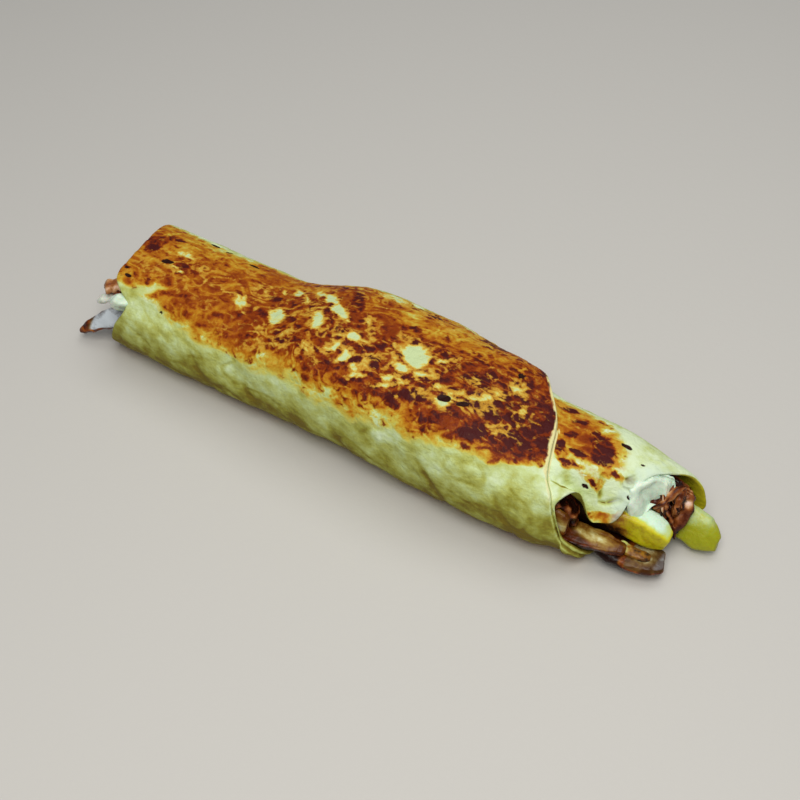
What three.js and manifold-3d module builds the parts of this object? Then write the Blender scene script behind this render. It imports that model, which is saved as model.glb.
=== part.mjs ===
// A griddled meat wrap: a thin round of flatbread rolled about sliced meat, fries and garlic sauce, lying
// on a flat underside. Millimetres, +Z up, X along the roll from its far end to its open end.
import * as THREE from "three";
import { mergeVertices } from "three/addons/utils/BufferGeometryUtils.js";
import Module from "manifold-3d";

const { smoothstep, lerp, degToRad, seededRandom } = THREE.MathUtils;
const wasm = await Module();
wasm.setup();

// Bread: one sheet that goes round twice
const SHEET = 1.5;
const SLACK = 0.5;
const INNER_LAYER = SHEET + SLACK;
const WALL = INNER_LAYER + SHEET;
const LIP_ROUND = 0.45;

// Roll: the section's size at its far end, and how much it swells where the filling is plump
const ROLL_HALF_WIDTH = 27.2;
const ROLL_HEIGHT = 36.4;
const ROLL_SQUARENESS = 2.6;
const FLAT_UNDERSIDE = 1.1;
const TOP_SWELL = { from: 62, full: 98, ebb: 152, to: 184, height: 6.8 };
const FAR_SWELL = { from: 60, full: 98, ebb: 122, to: 174, width: 7 };
const NEAR_SWELL = { from: 108, full: 148, to: 196, width: 2.2 };
const FAR_RIM = { from: 198, to: 236, drop: 4.4, tuck: 5.4 };
const NEAR_RIM = { from: 186, to: 212, tuck: 3 };

// Where each layer of bread ends, by the angle round the roll: 0 far side, 90 top, 180 near side
const FAR_LIP = ringCurve([
  [0, 1.5], [50, -1], [78, 1.6], [98, 3.6], [124, 5.2], [145, 14], [160, 13.6], [176, 10],
  [200, 5], [290, 1], [360, 1.5],
]);
const OUTER_EDGE = ringCurve([
  [0, 166], [50, 170.5], [90, 184.5], [129, 191.4], [141, 194.4], [151, 195.4], [163, 196.5],
  [176, 198.1], [191, 200.5], [208, 205.1], [228, 207.4], [250, 205], [300, 188], [360, 166],
]);
const INNER_EDGE = ringCurve([
  [0, 233.6], [14, 231.8], [24, 229.8], [40, 228], [57, 225.4], [76, 220.5], [88, 217], [98, 215.6],
  [107, 213.4], [114, 208.8], [121, 205.2], [127, 202], [132, 199.6], [142, 197.6], [151, 196.2],
  [163, 197.3], [176, 198.9], [191, 201.3], [208, 206], [228, 209], [250, 209.6], [300, 221],
  [345, 234.6], [360, 233.6],
]);

// The tongue of the inner layer that hangs down between the two mouths
const TONGUE = { from: 82, middle: 116, to: 128, droop: 12.5, reach: 20 };

// The far shoulder of the outer layer's edge, which stands off the layer below
const LIFT = { from: 10, middle: 52, to: 96, height: 2.4, reach: 26 };

// Folds pressed into the bread: where each starts and ends (along, angle), how deep and how wide
const FOLDS = [
  { start: [12, 152], end: [44, 138], depth: 1.6, width: 4.5 },
  { start: [58, 150], end: [88, 200], depth: 1.6, width: 5 },
  { start: [132, 165], end: [156, 210], depth: 1.6, width: 5 },
];

// Filling
const CLEARANCE = 0.45;
const CORE_START = 3;
const CORE_END = { near: 184, far: 208 };
const CORE_LUMP = 1.1;

const COLOUR = {
  bread: 0xd9c98a,
  meat: 0x5a2a18,
  slice: 0x9a7a5c,
  fry: 0xd8c048,
  sauce: 0xe6eadc,
  onion: 0xdfe3cf,
};

// A smooth closed curve of value against angle, through a few stops that go once round
function ringCurve(stops) {
  const curve = new THREE.CubicInterpolant(
    stops.map(([angle]) => angle),
    stops.map(([, value]) => value),
    1,
  );
  curve.settings = { endingStart: THREE.WrapAroundEnding, endingEnd: THREE.WrapAroundEnding };
  return (angle) => curve.evaluate(((angle % 360) + 360) % 360)[0];
}

// A bump that is 0 at both ends and 1 in the middle
function bump(value, from, middle, to) {
  return smoothstep(value, from, middle) * (1 - smoothstep(value, middle, to));
}

// Sine or cosine raised to a superellipse's power
function squared(wave, squareness) {
  return Math.sign(wave) * Math.abs(wave) ** (2 / squareness);
}

// How far a swelling has grown, a distance along the roll
function swelling(along, { from, full, ebb = full, to }) {
  return smoothstep(along, from, full) * (1 - smoothstep(along, ebb, to));
}

// Size of the roll's section, a distance along it from the far end
function rollSize(along) {
  const farRim = smoothstep(along, FAR_RIM.from, FAR_RIM.to);
  const nearRim = smoothstep(along, NEAR_RIM.from, NEAR_RIM.to);
  const far = ROLL_HALF_WIDTH + FAR_SWELL.width * swelling(along, FAR_SWELL) - FAR_RIM.tuck * farRim;
  const near = ROLL_HALF_WIDTH + NEAR_SWELL.width * swelling(along, NEAR_SWELL) - NEAR_RIM.tuck * nearRim;
  return {
    halfWidth: (far + near) / 2,
    centre: (far - near) / 2,
    height: ROLL_HEIGHT + TOP_SWELL.height * swelling(along, TOP_SWELL) - FAR_RIM.drop * farRim,
  };
}

// How deep the folds press in at a place on the roll
function foldDepth(along, angle) {
  const mmPerDegree = 0.42;
  return FOLDS.reduce((deepest, { start, end, depth, width }) => {
    const run = new THREE.Vector2(end[0] - start[0], (end[1] - start[1]) * mmPerDegree);
    const here = new THREE.Vector2(along - start[0], (angle - start[1]) * mmPerDegree);
    const share = THREE.MathUtils.clamp(here.dot(run) / run.lengthSq(), 0, 1);
    const away = here.sub(run.multiplyScalar(share)).length();
    const fade = bump(share, -0.2, 0.4, 1.2);
    return Math.max(deepest, depth * fade * Math.exp(-((away / width) ** 2)));
  }, 0);
}

// A point on the roll, set in from its outer surface
function rollPoint(along, angle, inset) {
  const { halfWidth, height, centre } = rollSize(along);
  const turn = degToRad(angle);
  const depth = inset + foldDepth(along, angle);
  const y = centre + (halfWidth - depth) * squared(Math.cos(turn), ROLL_SQUARENESS);
  const halfHeight = (height + FLAT_UNDERSIDE) / 2;
  const z = height - halfHeight + (halfHeight - depth) * squared(Math.sin(turn), ROLL_SQUARENESS);
  return new THREE.Vector3(along, y, Math.max(z, inset));
}

// The same, with the open end's tongue hanging down
function breadPoint(along, angle, inset) {
  const point = rollPoint(along, angle, inset);
  const edge = INNER_EDGE(angle);
  const hang = bump(angle, TONGUE.from, TONGUE.middle, TONGUE.to);
  point.z -= TONGUE.droop * hang * smoothstep(along, edge - TONGUE.reach, edge);
  return point;
}

// A place under the bread, back from the open end's lip and down from its inside
function underLip(angle, back, down) {
  return breadPoint(INNER_EDGE(angle) - back, angle, WALL + down).toArray();
}

// How far the outer layer stands off the layer below
function lift(along, angle) {
  const edge = OUTER_EDGE(angle);
  const shoulder = bump(angle, LIFT.from, LIFT.middle, LIFT.to);
  return LIFT.height * shoulder * smoothstep(along, edge - LIFT.reach, edge);
}

// A surface from a grid of points, closed round each row and, where the rows don't loop, by end caps
function skin(rows, { loops = false } = {}) {
  const columns = rows[0].length;
  const positions = rows.flat().flatMap((p) => p.toArray());
  const index = [];
  const bands = loops ? rows.length : rows.length - 1;
  for (let i = 0; i < bands; i++) {
    for (let j = 0; j < columns; j++) {
      const here = i * columns + j;
      const beside = i * columns + ((j + 1) % columns);
      const next = ((i + 1) % rows.length) * columns + j;
      const across = ((i + 1) % rows.length) * columns + ((j + 1) % columns);
      index.push(here, beside, next, beside, across, next);
    }
  }
  if (!loops) {
    [rows[0], rows.at(-1)].forEach((row, end) => {
      const middle = row.reduce((sum, p) => sum.add(p), new THREE.Vector3()).divideScalar(columns);
      const hub = positions.length / 3;
      positions.push(...middle.toArray());
      const first = end ? (rows.length - 1) * columns : 0;
      for (let j = 0; j < columns; j++) {
        const a = first + j;
        const b = first + ((j + 1) % columns);
        index.push(...(end ? [hub, a, b] : [hub, b, a]));
      }
    });
  }
  return new THREE.BufferGeometry()
    .setAttribute("position", new THREE.Float32BufferAttribute(positions, 3))
    .setIndex(index);
}

// A strip of food swept along a smooth path: `turn` rolls its section, `ripple` waves its edges, `taper`
// is how much width is left at the far end, and both ends round off to `tip` of the section.
// `grow` makes it larger all round, to cut room for it.
function strip(piece, grow = 0) {
  const { path, width, thick, turn = 0, tip = [0.6, 0.6], taper = 1 } = piece;
  const { ripple = 0, seed = 1, squareness = 3.2, sides = 10, steps = 12 } = piece;
  const curve = new THREE.CatmullRomCurve3(path.map((p) => new THREE.Vector3(...p)));
  const phase = 2 * Math.PI * seededRandom(seed);
  const rows = [];
  for (let i = 0; i <= steps; i++) {
    const share = i / steps;
    const ahead = curve.getTangentAt(share);
    const across = new THREE.Vector3(-ahead.y, ahead.x, 0).normalize();
    across.applyAxisAngle(ahead, degToRad(turn));
    const above = new THREE.Vector3().crossVectors(ahead, across);
    const end = Math.min(share, 1 - share) * steps;
    const close = lerp(share < 0.5 ? tip[0] : tip[1], 1, Math.sin(Math.min(end / 2, 1) * Math.PI / 2));
    const ripples = Math.sin(phase + 9 * share) + 0.6 * Math.sin(2.3 * phase + 21 * share);
    const wave = (1 + ripple * ripples) * lerp(1, taper, share);
    const centre = curve.getPointAt(share);
    if (i === 0) centre.addScaledVector(ahead, -grow);
    if (i === steps) centre.addScaledVector(ahead, grow);
    const row = [];
    for (let j = 0; j < sides; j++) {
      const round = (2 * Math.PI * j) / sides;
      const a = (0.5 * width * wave * close + grow) * squared(Math.cos(round), squareness);
      const b = (0.5 * thick * close + grow) * squared(Math.sin(round), squareness);
      row.push(centre.clone().addScaledVector(across, a).addScaledVector(above, b));
    }
    rows.push(row);
  }
  return skin(rows);
}

// A geometry as a solid for joining and cutting, and back again
function solid(geometry) {
  const merged = mergeVertices(geometry, 1e-3);
  return new wasm.Manifold(new wasm.Mesh({
    numProp: 3,
    vertProperties: merged.attributes.position.array,
    triVerts: new Uint32Array(merged.index.array),
  }));
}

function geometryOf(made) {
  const { numProp, vertProperties, triVerts } = made.getMesh();
  const positions = [];
  for (let i = 0; i < vertProperties.length; i += numProp) {
    positions.push(...vertProperties.slice(i, i + 3));
  }
  return new THREE.BufferGeometry()
    .setAttribute("position", new THREE.Float32BufferAttribute(positions, 3))
    .setIndex([...triVerts]);
}

// Bread: over the outer layer to its edge, down onto the inner layer, out to its lip and back inside.
// `grow` makes it thicker on the inside, to cut room for it.
function flatbread(grow = 0) {
  const outerSteps = 36;
  const innerSteps = 8;
  const insideShares = [0, 0.02, 0.05, 0.1, 0.16, 0.23, 0.31, 0.39, 0.47, 0.55, 0.63, 0.71, 0.8, 0.9, 1];
  const angles = [];
  for (let angle = 0; angle < 360; angle += angle >= 90 && angle < 135 ? 3.75 : 7.5) {
    angles.push(angle);
  }
  const row = (place) => angles.map((angle) => {
    const lips = [FAR_LIP(angle) - grow, OUTER_EDGE(angle), INNER_EDGE(angle) + grow];
    const [along, inset] = place(...lips, angle);
    return breadPoint(along, angle, inset);
  });
  const rows = [];
  for (let i = 0; i <= outerSteps; i++) {
    rows.push(row((far, edge, lip, angle) => {
      const along = lerp(far, edge, i / outerSteps);
      return [along, -lift(along, angle)];
    }));
  }
  rows.push(row((far, edge, lip, angle) => [edge + LIP_ROUND, SHEET / 2 - lift(edge, angle)]));
  for (let i = 0; i <= innerSteps; i++) {
    rows.push(row((far, edge, lip) => [lerp(edge + LIP_ROUND / 2, lip, i / innerSteps), INNER_LAYER]));
  }
  rows.push(row((far, edge, lip) => [lip + LIP_ROUND, INNER_LAYER + SHEET / 2]));
  for (const share of insideShares) {
    rows.push(row((far, edge, lip) => [lerp(lip, far, share), WALL + grow]));
  }
  rows.push(row((far) => [far - LIP_ROUND, WALL / 2]));
  return skin(rows, { loops: true });
}

// Pieces that stick out of the two ends
const PIECES = {
  fry_front: {
    path: [[190, -4.6, 14], [204, -3.4, 14.4], [214, -2.7, 14.2], [222, -2.3, 13.2], [230.6, -1.9, 11]],
    width: 11.8, thick: 10.2, taper: 0.78, tip: [0.8, 0.6], ripple: 0.03, squareness: 5, turn: -4,
    colour: COLOUR.fry,
  },
  fry_side: {
    path: [[212, 11.6, 11], [222, 11.5, 10], [232, 11.2, 8.5], [243.2, 10.9, 5.3]],
    width: 13.2, thick: 5.4, tip: [0.8, 0.4], ripple: 0.03, squareness: 3.4, turn: 52, colour: COLOUR.fry,
  },
  fry_sliver: {
    path: [[216.8, -9.8, 8.9], [222, -10.4, 8.4], [227.8, -9, 7.5]],
    width: 3.8, thick: 1.4, tip: [0.7, 0.5], ripple: 0.06, seed: 2, turn: 8, steps: 8, colour: COLOUR.fry,
  },
  meat_slice_lower: {
    path: [[199, -6.8, 6], [210, -8.2, 6.1], [220, -9.8, 5.1], [231.6, -5.6, 4.4]],
    width: 13.2, thick: 4, tip: [0.8, 0.62], ripple: 0.05, seed: 3, turn: -4, colour: COLOUR.slice,
  },
  meat_slice_middle: {
    path: [[193, -15.4, 10.3], [203.5, -15.8, 10.1], [212, -14.4, 10.1], [219.4, -12.6, 10.2]],
    width: 7.6, thick: 3.4, taper: 0.6, tip: [0.8, 0.6], ripple: 0.06, seed: 5, turn: 8, steps: 10,
    colour: COLOUR.slice,
  },
  meat_slice_upright: {
    path: [[184, -18.8, 18.2], [192, -19.6, 17.8], [201, -19.4, 17.2]],
    width: 9.6, thick: 2.8, tip: [0.8, 0.75], ripple: 0.06, seed: 8, turn: 84, steps: 8,
    colour: COLOUR.slice,
  },
  meat_slice_far: {
    path: [[16, -14.5, 14.6], [4, -17.8, 13.4], [-4, -21, 9.6], [-12, -24.6, 3.6]],
    width: 11.4, thick: 3.2, taper: 0.3, tip: [0.9, 0.5], ripple: 0.05, seed: 11, turn: -42, steps: 10,
    colour: COLOUR.slice,
  },
  onion_strip_far: {
    path: [[8, -9.6, 18.6], [-2, -13, 17.8], [-9, -16, 14.6]],
    width: 4, thick: 2.4, tip: [0.8, 0.5], seed: 13, steps: 8, colour: COLOUR.onion,
  },
  garlic_sauce_near: {
    path: [100, 92, 83, 72, 60].map((angle) => underLip(angle, 0.8, 3.6)),
    width: 5.2, thick: 5, tip: [0.5, 0.4], ripple: 0.1, seed: 17, squareness: 2.2, colour: COLOUR.sauce,
  },
  garlic_sauce_far: {
    path: [[12.6, -17, 22.8], [9.3, -20, 25.4], [5.3, -21.4, 25.6]],
    width: 7.8, thick: 6.4, tip: [0.6, 0.5], seed: 19, squareness: 2, steps: 8, colour: COLOUR.sauce,
  },
};

// Meat shreds that show in the open end's far mouth, and lumps at the far end
const SHREDS = [
  { path: [[204, 13, 19], [219, 12.6, 23.4], [226, 10.8, 23.6], [229.4, 7.4, 19]], width: 6, thick: 4 },
  { path: [[204, 8, 22], [218, 9, 25], [223.5, 6.5, 23.6], [225.5, 3.4, 19]], width: 4.6, thick: 3.4 },
  { path: [[204, 14, 14], [221, 14.2, 19.4], [228.4, 13, 18.4], [230.8, 9, 13]], width: 6, thick: 4.4 },
  { path: [[204, 4, 18], [218, 4.8, 21], [224, 5.2, 17], [227.6, 5.4, 9.6]], width: 5.4, thick: 3.4 },
  { path: [[204, 12, 16], [222, 12, 15.8], [228, 8.5, 14], [230, 4.6, 8.4]], width: 5, thick: 4 },
  { path: [[180, -6, 22], [193, -12, 23], [199, -14.4, 20.4], [201.6, -14.6, 14.4]], width: 6, thick: 4 },
  { path: [[180, -12, 10], [194, -15, 17], [198.5, -13.8, 19.4], [201.5, -12.4, 20]], width: 5, thick: 3 },
  { path: [[180, -12, 24], [190, -15.6, 25], [195.5, -17.4, 24], [198, -16.8, 22]], width: 5.4, thick: 4 },
  { path: [[180, -12, 8], [196, -16.6, 6.8], [206, -16.4, 6.2]], width: 6, thick: 4 },
  { path: [[16, -8, 20], [1, -9.6, 21.4], [-4.5, -12.4, 20.6]], width: 8, thick: 5 },
  { path: [[18, 3, 25], [9, 3, 25], [1, 1.5, 24]], width: 15, thick: 9 },
  { path: [[18, 13, 16], [9, 13.4, 16], [1.5, 13, 15.4]], width: 11, thick: 12 },
  { path: [[18, 3, 11], [9, 2.4, 11], [0.5, 1, 10.4]], width: 14, thick: 8 },
  { path: [[18, -10, 10.6], [9, -10, 10.6], [2, -10.6, 10]], width: 10, thick: 7 },
];

// The core of the filling: it fills the roll, and slants back at the near mouth
function fillingCore() {
  const columns = 24;
  const steps = 22;
  const inset = WALL + 2 * CLEARANCE + CORE_LUMP;
  const rows = [];
  for (let i = 0; i <= steps; i++) {
    const share = i / steps;
    const pinch = lerp(0.72, 1, Math.sin(Math.min(Math.min(share, 1 - share) * 12, 1) * Math.PI / 2));
    const row = [];
    for (let j = 0; j < columns; j++) {
      const angle = (360 * j) / columns;
      const farShare = (1 + Math.cos(degToRad(angle))) / 2;
      const along = lerp(CORE_START, lerp(CORE_END.near, CORE_END.far, farShare), share);
      const lump = CORE_LUMP * Math.sin(0.31 * along + 3 * degToRad(angle)) * Math.sin(0.17 * along + 1);
      const point = rollPoint(along, angle, inset - lump);
      const { centre, height } = rollSize(along);
      const axis = new THREE.Vector3(along, centre, height / 2);
      row.push(axis.lerp(point, pinch));
    }
    rows.push(row);
  }
  return skin(rows);
}

// The filling with its shreds fused on, cut back round the pieces that lie in it
function meatFilling() {
  const common = { tip: [0.8, 0.55], ripple: 0.1, sides: 8, steps: 8 };
  const joined = SHREDS.reduce(
    (made, shred, n) => made.add(solid(strip({ ...common, seed: 30 + n, ...shred }))),
    solid(fillingCore()),
  );
  const cut = Object.values(PIECES).reduce(
    (made, piece) => made.subtract(solid(strip(piece, CLEARANCE))),
    joined.subtract(solid(flatbread(2 * CLEARANCE))),
  );
  const largest = cut.decompose().sort((a, b) => b.volume() - a.volume())[0];
  return geometryOf(largest);
}

function part(name, geometry, colour, roughness) {
  const material = new THREE.MeshStandardMaterial({ color: colour, roughness, metalness: 0 });
  const mesh = new THREE.Mesh(geometry, material);
  mesh.name = name;
  return mesh;
}

const wrap = new THREE.Group();
wrap.add(part("flatbread", flatbread(), COLOUR.bread, 0.75));
wrap.add(part("meat_filling", meatFilling(), COLOUR.meat, 0.5));
for (const [name, piece] of Object.entries(PIECES)) {
  wrap.add(part(name, strip(piece), piece.colour, 0.5));
}

// The origin is under the middle of the whole wrap
const middle = new THREE.Box3().setFromObject(wrap).getCenter(new THREE.Vector3());
wrap.position.set(-middle.x, -middle.y, 0);

export default wrap;
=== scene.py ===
"""A griddled shawarma wrap: browned flatbread rolled round sliced meat, fries and garlic sauce."""
import math
from contextlib import contextmanager

import bmesh
import bpy
import numpy as np
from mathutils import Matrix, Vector, noise
from mathutils.kdtree import KDTree


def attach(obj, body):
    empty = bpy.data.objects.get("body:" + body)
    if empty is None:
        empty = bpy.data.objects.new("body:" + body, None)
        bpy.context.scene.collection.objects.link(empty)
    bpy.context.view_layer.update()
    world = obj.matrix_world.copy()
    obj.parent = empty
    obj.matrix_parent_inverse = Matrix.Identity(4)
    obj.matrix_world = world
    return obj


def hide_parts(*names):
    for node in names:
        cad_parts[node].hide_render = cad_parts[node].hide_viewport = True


MM = 0.001

# Camera: the photograph's view, in degrees and millimetres
AZIMUTH = 33.0
ELEVATION = 45.0
DISTANCE = 500.0
TARGET = (8.14, -4.75, 20.0)
LENS = 62.6
SENSOR = 36.0

# Lights: azimuth and elevation in degrees, distance and size in metres, watts and colour
LIGHTS = {
    "key_light": (30, 62, 0.9, 0.55, 6.2, (1.0, 0.97, 0.92)),
    "top_light": (170, 72, 0.9, 0.7, 3, (1.0, 0.99, 0.97)),
}
LIGHT_TARGET = (0, 0, 0.02)
SKY_COLOUR = (0.9, 0.94, 1.0, 1)
SKY_STRENGTH = 0.18
# The floor's half size in metres, and how many millimetres it lies below the wrap
FLOOR_HALF = 3.0
FLOOR_DROP = 0.2

# Places on the bread are millimetres along the roll (x) and across its top (y, with a share of the way down
# the sides). Where a value holds two numbers, a thing is gone at the first and full at the second. Where it
# holds four, the thing is gone at the first and the last and full between the others.
SIDE_SHARE = 0.7
AXIS_HEIGHT = 18.0
# The top's height is taken at steps along the roll, from the points within reach of each
TOP_STEP = 6
TOP_REACH = 4
# The sides, the underside, where the plain bread low down is painted darker olive as shade, and where the
# sides are painted in more shade towards the open end
SIDES_ACROSS = (18, 36)
UNDERSIDE_HEIGHT = (5, 1)
LOW_HEIGHT = (30, 6)
SIDE_SHADE_ALONG = (30, 70)
# How far a point faces away from the roll's axis on its outside, and along the roll on the open end's rim
OUTSIDE_FACING = (-0.1, 0.35)
RIM_FACING = (0.45, 0.75)
RIM_FROM = 40
# The least length of an edge along the roll that is split for more rows, and the least share of it along x
ROW_EDGE = 2
ROW_SLANT = 0.8

# Where the outer layer of bread ends: across and along
OUTER_EDGE = [
    (-42, 84.8), (-36.5, 82.4), (-32, 80.8), (-27, 79.4), (-24.4, 77.8), (-22, 75.9), (-20, 74.5),
    (-14.5, 72.9), (-8.9, 71.0), (-3.4, 69.3), (3.8, 67.0), (7.9, 64.1), (15.4, 58.2), (22.7, 54.2),
    (37, 50.3),
]
# How far past that edge the inner layer begins, and the band of cut bread that shows on top of the edge
EDGE_MARGIN = 0.3
EDGE_BAND = 1.4
EDGE_BAND_ACROSS = (-32, -22)
EDGE_FRAY = 0.7
# How much the outer layer thins out towards its edge, down the near side, and where
EDGE_THINS = 1.2
THINS_ACROSS = (-27, -36)
THINS_Y = (-4, -16)
THINS_FACING = (-0.6, -0.2)
THINS_PAST_EDGE = (-12, -1, 0.4, 1.4)

# The browned top at places along the roll: along, where its near and far borders have faded to pale across
# the roll, how wide the near one's fade is, how brown it is, and how much of it is blotched dark
BROWN_TOP = [
    (-118, -24, 26, 5, 0.54, 0.2), (-109, -25, 26, 5, 0.54, 0.2), (-99, -25.5, 22, 5, 0.52, 0.2),
    (-91, -28, 20, 6, 0.55, 0.21), (-78, -31, 22, 8, 0.6, 0.21), (-64, -34.5, 25, 11, 0.66, 0.25),
    (-46, -36, 28, 13, 0.72, 0.33), (-29, -37, 30, 15, 0.74, 0.41), (-18, -40, 32, 16, 0.76, 0.45),
    (-6, -41, 33, 16.5, 0.76, 0.49), (7, -40, 34, 15, 0.76, 0.52), (18, -37.5, 35, 14, 0.78, 0.56),
    (32, -37, 36, 13, 0.8, 0.62), (45, -33, 38, 9, 0.84, 0.69), (57, -28.5, 39, 6, 0.86, 0.75),
    (70, -19, 39, 6, 0.86, 0.77),
]
# How wide the far border's fade is, and the heights between which the browning begins
FAR_FADE = 9
BROWN_HEIGHT = (6, 16)
# Past the top's middle it is browned less, and least where it is golden
BEYOND_ACROSS = (3, 14)
GOLDEN_ALONG = (-16, 2, 40, 56)
# How far the near and far borders, blotches, islands and burnt specks wander from their places
NEAR_WANDER = 3.5
FAR_WANDER = 2.5
BLOTCH_WANDER = 2
ISLAND_WANDER = 1.2
SPECK_WANDER = 0.4

# Spots are: along, across, half length, half width, turn in degrees, strength.
# Dark blotches on the outer layer
OUTER_DARK = [
    (-108, -0.9, 3.2, 2.6, 0, 0.95), (-110, 4, 5, 4, 0, 0.65), (-105, 9.3, 5, 2.2, 0, 0.6),
    (-89, -3, 9, 4.6, 20, 0.55), (-98.4, -15.4, 2.6, 1, 20, 0.6), (-84, -17.6, 5.4, 1.8, 15, 0.6),
    (-53, -13, 10, 4.6, 8, 0.52), (-51, 0.5, 7, 3, 15, 0.65),
    (-47, -22, 2, 1.4, 0, 0.9), (-33, -20, 7, 4, 10, 0.6), (-29, -11, 4, 3, 60, 0.6),
    (-20, -19, 9, 4.4, 0, 0.65), (-13, -23, 6, 2.6, 10, 0.6), (-17, -7, 5, 3, -56, 0.85),
    (-8.4, -11, 5, 3, 30, 0.75), (1.7, -13.7, 5, 3.6, -60, 0.95), (15, -23.8, 5, 3.4, 34, 0.9),
    (22.6, -18.6, 6, 4.4, 36, 0.9), (36, -1, 8, 4.6, 20, 0.8), (37, -20, 11, 3.4, 12, 0.8),
    (47, -11.5, 6, 5, 20, 0.95), (47, -23, 6.5, 3.4, 10, 1.15), (53, -6, 4, 4.6, 60, 0.85),
    (53, 9, 4.4, 3, 30, 0.85), (58, -9.5, 4.6, 4, 0, 0.9), (62, -15.5, 8, 2.6, -18, 1.0),
    (65.5, -2, 2.8, 6, 0, 1.1), (68, -10, 2.6, 5, -10, 1.15), (-30, 20, 9, 4, 10, 0.6),
    (4, 24, 10, 4, 0, 0.6), (32, 26, 9, 5, 10, 0.7), (46, -17, 28, 9, -2, 0.64), (4, -15, 24, 8, 0, 0.56),
    (-40, -12, 24, 8, 0, 0.48), (-20, 10, 8, 4, -66, 0.7), (0.7, -24.5, 6, 2.2, 5, 0.7),
]

# Pale islands on the outer layer, and wide weak ones where thin pale lines curl through the brown
OUTER_PALE = [
    (-94.7, 3.6, 5.4, 1.8, 0, 0.9), (-93.2, -5, 3, 1, 20, 0.8), (-90.6, -6.4, 2.6, 0.9, 20, 0.75),
    (-26.6, 6, 10.5, 1.9, -38, 1.5), (-36, 12, 3.4, 1.8, -54, 0.95), (-60.5, -6.5, 5, 2.2, -52, 0.95),
    (-43.8, -8.5, 5.1, 3.2, -45, 1.1), (-26.4, -5.8, 6.1, 2.8, -52, 1.1), (-49.7, 6.4, 2.2, 1.3, -53, 0.85),
    (-44.9, 8.8, 3.5, 2.3, -50, 1.0), (-38.2, 4.5, 3.8, 1.2, -53, 0.8), (-9.9, -6.5, 2.5, 2.2, 24, 1.1),
    (-14.6, -15.6, 3.6, 1.5, 43, 0.95), (-7.9, -16.1, 3.8, 1.4, 73, 1.05), (-9.8, 3, 2.2, 1.6, -57, 0.9),
    (13.5, -3.1, 6.2, 4.6, -31, 1.5), (11.5, -10.7, 3.4, 1.9, -13, 1.1), (23.5, 0.5, 3.5, 1.6, 52, 0.95),
    (0.2, -21.8, 3.8, 1.8, 29, 0.85), (10.7, -17.1, 3, 1.9, 30, 0.85), (11.2, -20.4, 6, 1.1, 38, 0.85),
    (31.6, -17.5, 3.4, 1.9, 2, 0.95), (19.3, -9.9, 2.9, 1.5, 16, 0.85), (26.7, -11.4, 2.2, 1.5, 50, 0.85),
    (-3.3, -18.2, 3.6, 1.2, -62, 0.8), (32, -14.6, 4.4, 3, 10, 0.8), (43, -8, 6, 1.6, 30, 0.85),
    (50, 5, 3, 2.8, 20, 0.95), (48, -3, 2.6, 2.4, 0, 0.8), (54, -16, 6, 1.3, 20, 0.65),
    (56, -4, 4, 1.4, -70, 0.65), (-12, 25, 6, 4, 20, 0.95), (20, 30, 5, 3, 0, 0.9),
    (12, -12, 30, 14, 0, 0.38), (44, -8, 22, 14, 0, 0.34), (-34, -20, 20, 10, 5, 0.38),
    (-10, -10, 20, 12, 0, 0.38), (-48, 2, 26, 12, 0, 0.34), (-90, -4, 30, 12, 0, 0.3),
    (10, 24, 60, 12, 0, 0.34),
]

# Deeper brown places on the outer layer
OUTER_TOAST = [
    (-110, 4, 6, 6, 0, 0.85), (-89, -3, 10, 5, 20, 0.6), (-54, -13, 9, 5.4, 14, 0.84),
    (-78, -17, 12, 4, 15, 0.55),
]

# Where the fold at the far end kept the griddle off
OUTER_BARE = [(-95, -20.4, 9, 2, 35, 0.85), (-104, -24, 5, 2, 0, 0.9)]

# The inner layer past the outer one's edge: its browned patch, and the dark blotches on and round it
INNER_TOAST = [
    (76, 3.2, 10, 11, -20, 0.5), (70, 8, 8, 10, 0, 0.44), (66, 16, 8, 5, 0, 0.38), (81, 1, 6.4, 7.8, 0, 0.8),
    (96, -19.5, 7.5, 1.7, 31, 0.5),
]
INNER_DARK = [
    (65.8, 15.5, 5, 1.8, 5, 1.2), (72.5, 10.2, 3.6, 1.6, 10, 0.95), (73, 2, 2.2, 1.8, 0, 0.85),
    (72.6, -7.8, 3, 2.2, 20, 0.9), (78.1, -11.1, 4.4, 1.4, 0, 0.8), (80.5, 14.8, 2.4, 1.4, 0, 0.7),
    (84.8, 0.5, 5.8, 6.6, 0, 0.74), (87, -3.6, 4.2, 2.4, 20, 1.1), (84, 4, 4, 3, 20, 0.9),
    (78.3, -5.4, 2.8, 2.2, 0, 1.05), (79.6, 6.4, 2.6, 1.8, 20, 0.85), (87.6, -12.1, 2.6, 1.4, 20, 0.62),
    (91.9, -7.1, 2.6, 1.4, 20, 0.66),
]

# Burnt holes and specks: along, across, half length, half width, turn. None lies lower than CHAR_LOWEST
CHAR_SPOTS = [
    (48, 12, 1.5, 1.4, 0), (39, -14, 2.5, 1.2, 30), (32, -15, 2.6, 1.7, 20), (-98, -3.9, 2.6, 1.3, 20),
    (-106.5, -18.2, 1.5, 1, 0), (-109.5, -15, 1, 0.7, 0), (-91, 19, 2.4, 1, 0), (-84, 18, 1.6, 1, 30),
    (-70, 15, 2.6, 0.9, 0), (91, 7.8, 2.2, 1.1, 0), (85.8, -16.6, 1.1, 0.8, 30),
    (99.6, -11.2, 0.6, 0.6, 0), (98.9, 3.8, 0.7, 0.5, 0), (-86, -27.7, 0.8, 0.6, 0),
]
CHAR_LOWEST = 8
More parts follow.
